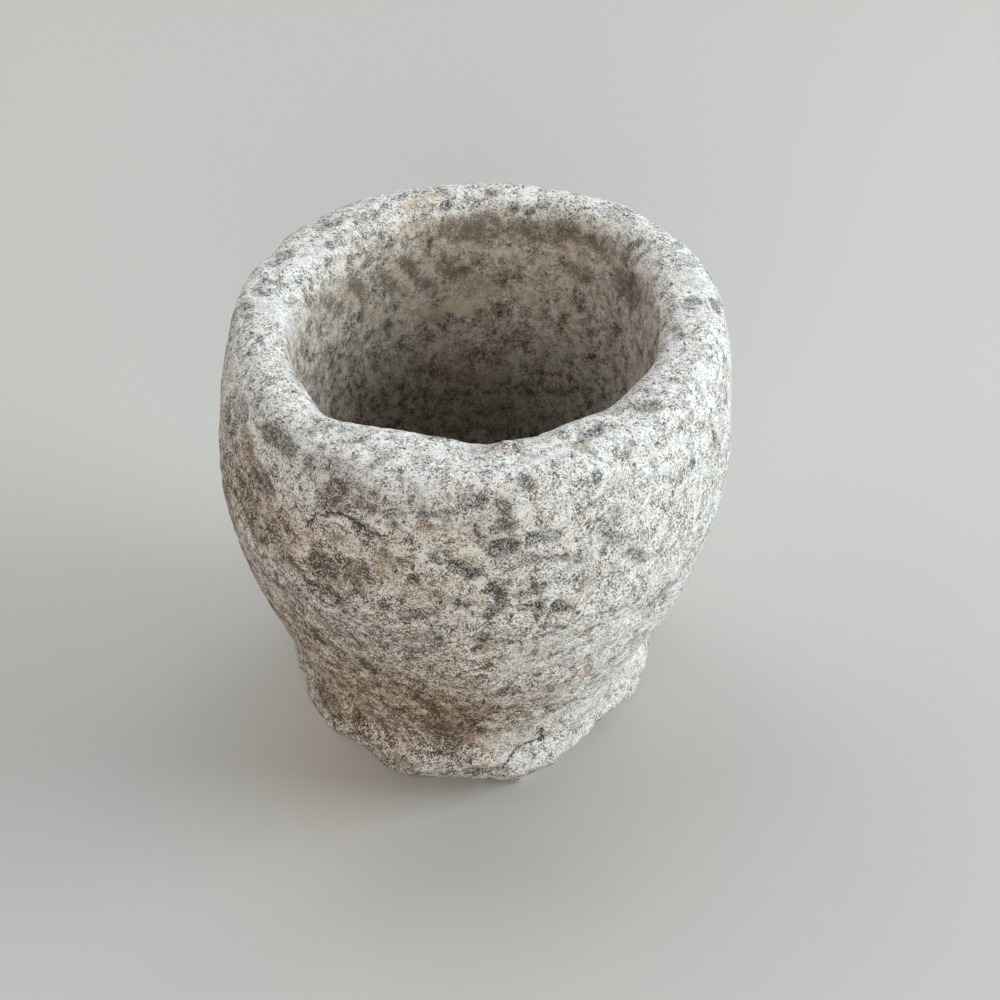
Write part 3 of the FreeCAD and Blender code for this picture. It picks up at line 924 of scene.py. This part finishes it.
def voronoi(vector, scale, feature="F1"):
    n = node("ShaderNodeTexVoronoi", voronoi_dimensions="3D",
             feature=feature)
    feed(n.inputs["Vector"], vector)
    feed(n.inputs["Scale"], scale)
    parts = node("ShaderNodeSeparateColor")
    if feature != "DISTANCE_TO_EDGE":
        feed(parts.inputs[0], n.outputs["Color"])
    return n.outputs["Distance"], parts.outputs


def mix(fac, a, b, blend="MIX"):
    n = node("ShaderNodeMix", data_type="RGBA", blend_type=blend,
             clamp_factor=True)
    feed(n.inputs[0], fac)
    for socket, value in ((n.inputs[6], a), (n.inputs[7], b)):
        if isinstance(value, tuple):
            value = value + (1.0,)
        feed(socket, value)
    return n.outputs[2]


def ramp(x, stops):
    n = node("ShaderNodeValToRGB")
    e = n.color_ramp.elements
    while len(e) < len(stops):
        e.new(0.5)
    for item, (at, colour) in zip(e, stops):
        item.position = at
        item.color = colour + (1.0,)
    feed(n.inputs[0], x)
    return n.outputs[0]


def read(name, colour=False):
    n = node("ShaderNodeAttribute", attribute_name=name)
    return n.outputs["Color" if colour else "Fac"]


def shift(vector, other, amount):
    """The vector moved by a colour noise, plus or minus half the amount."""
    n = node("ShaderNodeVectorMath", operation="MULTIPLY_ADD")
    feed(n.inputs[0], other)
    feed(n.inputs[1], (amount,) * 3)
    feed(n.inputs[2], vector)
    m = node("ShaderNodeVectorMath", operation="SUBTRACT")
    feed(m.inputs[0], n.outputs[0])
    feed(m.inputs[1], (amount / 2,) * 3)
    return m.outputs[0]


coords = node("ShaderNodeTexCoord")
scaled = node("ShaderNodeVectorMath", operation="SCALE")
feed(scaled.inputs[0], coords.outputs["Object"])
scaled.inputs["Scale"].default_value = 1000.0
mm = scaled.outputs[0]
bent = shift(mm, noise(mm, 0.8, 1.0, 0.5, True), 1.6)
far_bent = shift(mm, noise(mm, 0.22, 2.0, 0.5, True), 5.0)

# the soil mask holds weathering and painted shade together
bowl_side, dirt_and_shade = read("bowl_side"), read("soil_and_shade")
bowl_deep, crown = read("bowl_deep"), read("crown")

# crushed white grain with greyer gaps
crumbs = noise(mm, 1.7, 3.0, 0.66)
grit = noise(mm, 3.0, 1.0, 0.5)
thread = calc("ABSOLUTE", calc("SUBTRACT", noise(bent, 1.15, 2.0, 0.62),
                               0.5))
thread = smooth(thread, 0.075, 0.0)
drift = noise(mm, 0.42, 3.0, 0.6)
broad = noise(far_bent, 0.11, 3.0, 0.55)
d_cell, own = voronoi(bent, 0.8)
clump = noise(bent, 0.24, 2.0, 0.55)
d_gap, _own = voronoi(shift(mm, noise(mm, 1.1, 2.0, 0.6, True), 2.2), 0.62,
                      "DISTANCE_TO_EDGE")
gap = mul(smooth(d_gap, 0.13, 0.02), smooth(noise(mm, 0.45, 1.0, 0.5),
                                            0.42, 0.56))
fine = add(1.17, mul(dirt_and_shade, 1.35), mul(bowl_side, -0.99),
           mul(crown, -0.29))
coarse = add(0.95, mul(dirt_and_shade, 1.25), mul(bowl_side, 0.05))
level = add(0.560, mul(calc("SUBTRACT", crumbs, 0.5), fine, 1.15),
            mul(calc("SUBTRACT", grit, 0.5), fine, 1.00),
            mul(calc("SUBTRACT", thread, 0.22), 0.25),
            mul(calc("SUBTRACT", drift, 0.5), coarse, 0.78),
            mul(calc("SUBTRACT", clump, 0.5), coarse, 0.58),
            mul(calc("SUBTRACT", broad, 0.5), coarse, 0.34),
            mul(calc("SUBTRACT", own[0], 0.5), 0.12),
            mul(gap, add(-0.10, mul(dirt_and_shade, -0.16), mul(bowl_side, 0.08))),
            mul(dirt_and_shade, -0.030), mul(bowl_side, -0.065),
            mul(crown, 0.035))

# ragged patches of brown-grey weathering, darker at their edges
weather = add(noise(far_bent, 0.12, 5.0, 0.62), mul(dirt_and_shade, 0.085),
              -0.020,
              mul(calc("SUBTRACT", drift, 0.5), -0.10),
              mul(bowl_side, -0.03))
patch = smooth(weather, 0.575, 0.640)
brink = mul(smooth(weather, 0.565, 0.59), smooth(weather, 0.64, 0.60))
level = add(level, mul(patch, -0.09), mul(brink, -0.05))

colour = ramp(level, [
    (0.16, (0.060, 0.050, 0.042)), (0.30, (0.190, 0.165, 0.142)),
    (0.42, (0.390, 0.357, 0.322)), (0.52, (0.590, 0.567, 0.533)),
    (0.63, (0.780, 0.773, 0.757)), (0.78, (0.950, 0.950, 0.945))])
colour = mix(mul(patch, 0.25), colour, (0.180, 0.150, 0.120))
# weathering and painted shade: darker brown in the low tones where the soil mask is
# high
colour = mix(mul(dirt_and_shade, smooth(level, 0.50, 0.22), 0.62), colour,
             (0.150, 0.106, 0.072))

# slow change between cool grey, cream and warm brown
warmth = noise(far_bent, 0.19, 3.0, 0.6)
colour = mix(mul(smooth(add(warmth, mul(dirt_and_shade, 0.10)), 0.50, 0.66), 0.60),
             colour, (0.94, 0.865, 0.785), "MULTIPLY")
colour = mix(mul(smooth(warmth, 0.48, 0.36), 0.60), colour,
             (0.93, 0.955, 0.99), "MULTIPLY")

# quartz, biotite and rusty grains
d_q, own_q = voronoi(bent, 0.36)
quartz = mul(smooth(own_q[0], 0.22, 0.20),
             smooth(add(d_q, mul(own_q[1], -0.16),
                        mul(calc("SUBTRACT", crumbs, 0.5), 0.30)),
                    0.20, 0.12))
colour = mix(mul(quartz, 0.55), colour, (0.270, 0.265, 0.256))
d_f, own_f = voronoi(bent, 0.50)
fleck = mul(smooth(own_f[0], 0.24, 0.22),
            smooth(add(d_f, mul(own_f[1], -0.17),
                       mul(calc("SUBTRACT", crumbs, 0.5), 0.55)),
                   0.14, 0.07))
fleck = mul(fleck, add(1.0, mul(bowl_side, -0.6)))
colour = mix(mul(fleck, 0.85), colour, (0.055, 0.049, 0.045))
d_s, own_s = voronoi(bent, 1.0)
speck = mul(smooth(add(own_s[0], mul(dirt_and_shade, -0.10)), 0.15, 0.13),
            smooth(add(d_s, mul(calc("SUBTRACT", grit, 0.5), 0.4),
                       mul(dirt_and_shade, -0.04)), 0.30, 0.16))
speck = mul(speck, add(1.0, mul(bowl_side, -0.75)))
colour = mix(mul(speck, 0.80), colour, (0.075, 0.066, 0.058))
d_r, own_r = voronoi(bent, 0.28)
rusty = mul(smooth(own_r[0], 0.13, 0.11),
            smooth(add(d_r, mul(own_r[1], -0.12),
                       mul(calc("SUBTRACT", crumbs, 0.5), 0.4)),
                   0.18, 0.06))
colour = mix(mul(rusty, 0.45), colour, (0.470, 0.320, 0.200))

# hairline crevices, broken up
vein = calc("ABSOLUTE", calc("SUBTRACT", noise(far_bent, 0.09, 3.0, 0.65),
                             0.5))
vein = mul(smooth(vein, 0.0060, 0.0010),
           smooth(add(noise(mm, 0.16, 2.0, 0.5), mul(dirt_and_shade, 0.03)),
                  0.54, 0.60))
colour = mix(mul(vein, 0.70), colour, (0.085, 0.068, 0.054))

# the stains and grains that stand out, with painted pit shadows and painted
# highlights among them
rag = add(mul(calc("SUBTRACT", drift, 0.5), 4.2),
          mul(calc("SUBTRACT", crumbs, 0.5), 3.4))
soft = mul(smooth(add(read("soft_edge"), rag), -0.9, 0.9),
           read("soft_much"))
colour = mix(mul(soft, smooth(level, 0.86, 0.46, 0.40, 1.0)), colour,
             read("soft_tint", True))
rag_fine = add(mul(calc("SUBTRACT", crumbs, 0.5), 3.0),
               mul(calc("SUBTRACT", grit, 0.5), 1.4),
               mul(calc("SUBTRACT", drift, 0.5), 1.0))
crisp = mul(smooth(add(read("crisp_edge"), rag_fine), -0.35, 0.25),
            read("crisp_much"))
colour = mix(mul(crisp, smooth(level, 0.80, 0.40, 0.35, 1.0)), colour,
             read("crisp_tint", True))
wander = add(calc("ABSOLUTE", add(read("crack_across"), mul(
    calc("SUBTRACT", drift, 0.5), 3.0), mul(
    calc("SUBTRACT", crumbs, 0.5), 1.6))),
    mul(calc("SUBTRACT", grit, 0.5), 1.2))
crack = mul(smooth(wander, 0.55, 0.08), smooth(read("crack_near"), -0.1, 0.3),
            read("crack_much"))
colour = mix(mul(crack, smooth(crumbs, 0.64, 0.46, 0.40, 0.92)), colour,
             (0.060, 0.047, 0.038))

# the bowl is browner; the soiled side is browner too, from weathering and from
# painted shade
colour = mix(mul(bowl_side, 0.68), colour, (0.87, 0.80, 0.71), "MULTIPLY")
# painted shade in the bowl, darker towards its bottom and on two sides
colour = mix(bowl_deep, colour, (0.56, 0.53, 0.49), "MULTIPLY")
colour = mix(mul(dirt_and_shade, smooth(level, 0.74, 0.50, 0.55, 0.80)), colour,
             (0.78, 0.625, 0.485), "MULTIPLY")

rough = add(0.90, mul(calc("SUBTRACT", crumbs, 0.5), 0.25),
            mul(fleck, -0.28), mul(patch, 0.03))
rough = calc("MINIMUM", calc("MAXIMUM", rough, 0.45), 0.98)

pecks, _own = voronoi(bent, 0.42)
tall_ = add(mul(crumbs, 0.80), mul(grit, 0.22), mul(thread, 0.10),
            mul(drift, 0.85), mul(smooth(pecks, 0.0, 0.55), 0.18),
            mul(fleck, -0.16), mul(patch, -0.16), mul(vein, -0.25),
            mul(soft, -0.05), mul(crisp, -0.12), mul(crack, -0.30))
bump = node("ShaderNodeBump")
bump.inputs["Strength"].default_value = 1.0
bump.inputs["Distance"].default_value = 0.0006
feed(bump.inputs["Height"], tall_)

shader = node("ShaderNodeBsdfPrincipled")
feed(shader.inputs["Base Color"], colour)
feed(shader.inputs["Roughness"], rough)
feed(shader.inputs["Normal"], bump.outputs[0])
shader.inputs["IOR"].default_value = 1.5
shader.inputs["Specular IOR Level"].default_value = 0.35
finish = node("ShaderNodeOutputMaterial")
feed(finish.inputs["Surface"], shader.outputs[0])
mesh.materials.append(mat)

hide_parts("mortar")
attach(stone, "root")

# ------------------------------------------------ floor, light and camera

floor_mesh = bpy.data.meshes.new("floor")
floor_mesh.from_pydata([(-4, -4, 0), (4, -4, 0), (4, 4, 0), (-4, 4, 0)], [],
                       [(0, 1, 2, 3)])
floor = bpy.data.objects.new("floor", floor_mesh)
bpy.context.scene.collection.objects.link(floor)
floor_mat = bpy.data.materials.new("floor")
floor_mat.use_nodes = True
floor_bsdf = floor_mat.node_tree.nodes["Principled BSDF"]
floor_bsdf.inputs["Base Color"].default_value = (0.52, 0.51, 0.49, 1.0)
floor_bsdf.inputs["Roughness"].default_value = 0.95
floor_bsdf.inputs["Specular IOR Level"].default_value = 0.1
floor_mesh.materials.append(floor_mat)


# far from the object the floor rises into a plain pale backdrop, which is
# only seen and lights nothing
ring = [(0.60, 0.002), (1.10, 0.002), (1.60, 0.002), (2.00, 0.002)]
ring += [(2.0 + 1.5 * math.sin(math.radians(t)),
          1.502 - 1.5 * math.cos(math.radians(t))) for t in range(10, 91, 10)]
ring.append((3.5, 5.0))
sides = 96
cove_mesh = bpy.data.meshes.new("cove")
cove_mesh.from_pydata(
    [(r_ * math.cos(math.tau * k / sides), r_ * math.sin(math.tau * k / sides),
      z_) for r_, z_ in ring for k in range(sides)], [],
    [(j * sides + k, j * sides + (k + 1) % sides,
      (j + 1) * sides + (k + 1) % sides, (j + 1) * sides + k)
     for j in range(len(ring) - 1) for k in range(sides)])
cove = bpy.data.objects.new("cove", cove_mesh)
bpy.context.scene.collection.objects.link(cove)
cove_mat = bpy.data.materials.new("cove")
cove_mat.use_nodes = True
tree_ = cove_mat.node_tree
tree_.nodes.clear()
where_ = tree_.nodes.new("ShaderNodeTexCoord")
flat_ = tree_.nodes.new("ShaderNodeVectorMath")
flat_.operation = "MULTIPLY"
flat_.inputs[1].default_value = (1.0, 1.0, 0.0)
away = tree_.nodes.new("ShaderNodeVectorMath")
away.operation = "LENGTH"
fade = tree_.nodes.new("ShaderNodeMapRange")
fade.interpolation_type = "SMOOTHSTEP"
fade.inputs["From Min"].default_value = 0.62
fade.inputs["From Max"].default_value = 1.15
glow = tree_.nodes.new("ShaderNodeEmission")
glow.inputs["Color"].default_value = (0.46, 0.455, 0.44, 1.0)
clear = tree_.nodes.new("ShaderNodeBsdfTransparent")
blend_ = tree_.nodes.new("ShaderNodeMixShader")
end_ = tree_.nodes.new("ShaderNodeOutputMaterial")
tree_.links.new(where_.outputs["Object"], flat_.inputs[0])
tree_.links.new(flat_.outputs[0], away.inputs[0])
tree_.links.new(away.outputs["Value"], fade.inputs["Value"])
tree_.links.new(fade.outputs["Result"], blend_.inputs[0])
tree_.links.new(clear.outputs[0], blend_.inputs[1])
tree_.links.new(glow.outputs[0], blend_.inputs[2])
tree_.links.new(blend_.outputs[0], end_.inputs["Surface"])
cove_mesh.materials.append(cove_mat)
cove.visible_diffuse = False
cove.visible_glossy = False
cove.visible_transmission = False
cove.visible_shadow = False


def area(name, place_, aim, size, power, tint):
    light = bpy.data.lights.new(name, "AREA")
    light.shape = "RECTANGLE"
    light.size, light.size_y = size
    light.energy = power
    light.color = tint
    obj = bpy.data.objects.new(name, light)
    obj.location = place_
    way = [a - p for a, p in zip(aim, place_)]
    flat_ = math.hypot(way[0], way[1])
    obj.rotation_euler = (math.atan2(flat_, -way[2]), 0.0,
                          math.atan2(-way[0], way[1]))
    bpy.context.scene.collection.objects.link(obj)


area("key", (1.22, 0.0, 0.50), (0.0, 0.0, 0.06), (0.7, 0.7), 17.5,
     (0.86, 0.96, 1.0))
area("overhead", (0.0, 0.46, 1.26), (0.0, 0.0, 0.06), (0.8, 0.8), 6.5,
     (0.60, 0.82, 1.0))
area("left", (-0.92, 0.0, 0.98), (0.0, 0.0, 0.06), (0.7, 0.7), 3.1,
     (1.0, 0.96, 0.95))
area("back_left", (-0.65, 0.65, 0.98), (0.0, 0.0, 0.06), (0.7, 0.7), 4.6,
     (1.0, 0.90, 0.76))
area("back_right", (0.65, 0.65, 0.98), (0.0, 0.0, 0.06), (0.7, 0.7), 3.9,
     (1.0, 0.78, 0.62))
area("front", (0.0, -1.22, 0.50), (0.0, 0.0, 0.06), (0.7, 0.7), 8.6,
     (1.0, 0.94, 0.85))

world = bpy.data.worlds.new("studio")
world.use_nodes = True
sky = world.node_tree.nodes["Background"]
sky.inputs["Color"].default_value = (1.0, 0.98, 0.96, 1.0)
sky.inputs["Strength"].default_value = 0.02
bpy.context.scene.world = world

view = bpy.context.scene.view_settings
view.view_transform = "Standard"
view.look = "None"
view.exposure = 0.0
view.gamma = 1.0

lens = bpy.data.cameras.new("camera")
lens.sensor_fit = "HORIZONTAL"
lens.sensor_width = 36.0
lens.lens = 79.2
lens.clip_start = 0.01
lens.clip_end = 20.0
camera = bpy.data.objects.new("camera", lens)
camera.location = (0.006003, -0.422439, 0.448360)
camera.rotation_euler = (math.radians(47.441), 0.0, 0.0)
bpy.context.scene.collection.objects.link(camera)
bpy.context.scene.camera = camera
